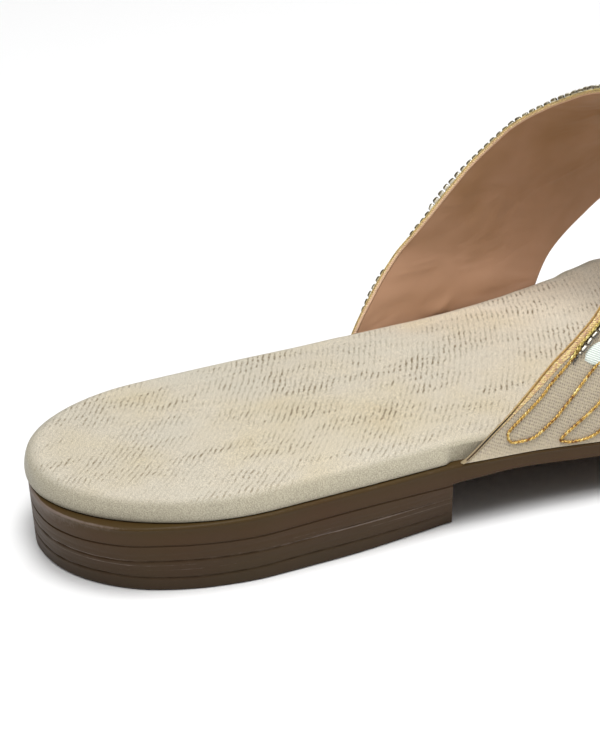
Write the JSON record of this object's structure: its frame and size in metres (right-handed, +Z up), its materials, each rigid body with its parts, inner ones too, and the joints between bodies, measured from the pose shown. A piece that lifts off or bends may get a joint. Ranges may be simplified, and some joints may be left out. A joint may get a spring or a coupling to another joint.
{
  "type": "slide sandal",
  "caption": "Right-foot slide sandal: moulded rubber sole with a low heel, padded fabric insole, and one broad embroidered band over the instep.",
  "frame": {"origin": "middle of the sandal's box, on the floor it stands on", "axes": "+Y from heel to toes, +X to the outer side of the foot, +Z up"},
  "size_m": [0.0914, 0.2476, 0.0612],
  "materials": {
    "brown_rubber": "satin moulded, worn paler along the top rim",
    "cream_fabric": "matt brushed cloth with a ribbed print",
    "beige_weave": "fine ribbed weave with raised embroidery",
    "tan_lining": "smooth coated lining, satin",
    "gold_binding": "metallic thread tape",
    "smoke_beads": "polished silver-lined glass"
  },
  "bodies": {
    "root": {"outsole": "brown_rubber", "insole": "cream_fabric", "upper": "beige_weave", "topline_binding": "gold_binding", "bead_string": "smoke_beads"}
  },
  "joints": []
}
